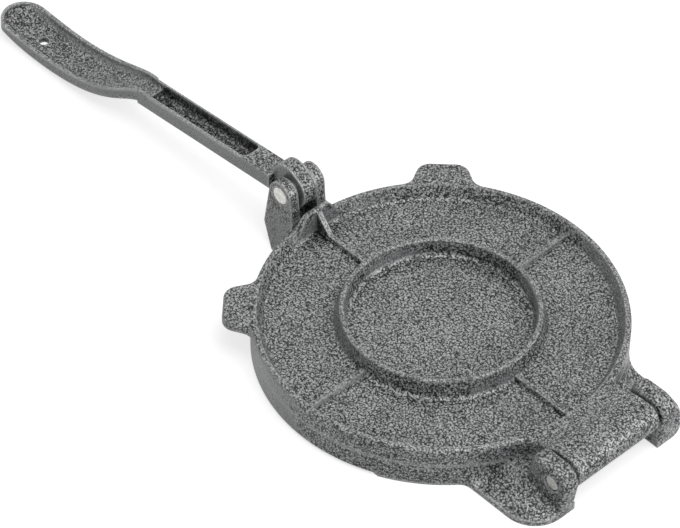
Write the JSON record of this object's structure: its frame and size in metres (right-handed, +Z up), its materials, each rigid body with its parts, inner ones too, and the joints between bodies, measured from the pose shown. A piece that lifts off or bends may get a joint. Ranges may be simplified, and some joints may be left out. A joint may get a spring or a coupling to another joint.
{
  "type": "tortilla press",
  "caption": "Hand press that flattens a ball of dough between two hinged round cast plates, closed by a cam lever.",
  "frame": {"origin": "on the plane the press stands on, at the sole of the clevis foot, straight under the lever pivot", "axes": "+X from the lever pivot to the lid hinge, +Z up, the lever laid back along -X, the hinge axes along Y"},
  "size_m": [0.495, 0.203, 0.0524],
  "materials": {
    "casting": "grey hammertone powder coat with fine dark veins",
    "pin": "bare turned steel"
  },
  "bodies": {
    "base": {"base_casting": "casting", "lever_pivot": "pin", "hinge_pin": "pin"},
    "lid": {"lid_casting": "casting"},
    "lever": {"lever_casting": "casting"}
  },
  "joints": [
    {"name": "lid_hinge", "type": "hinge", "parent": "base", "child": "lid", "pos_m": [0.2363, 0, 0.0208], "axis": [0, 1, 0], "range_deg": [0, 180]},
    {"name": "lever_swing", "type": "hinge", "parent": "base", "child": "lever", "pos_m": [0, 0, 0.039], "axis": [0, 1, 0], "range_deg": [0, 180]}
  ]
}
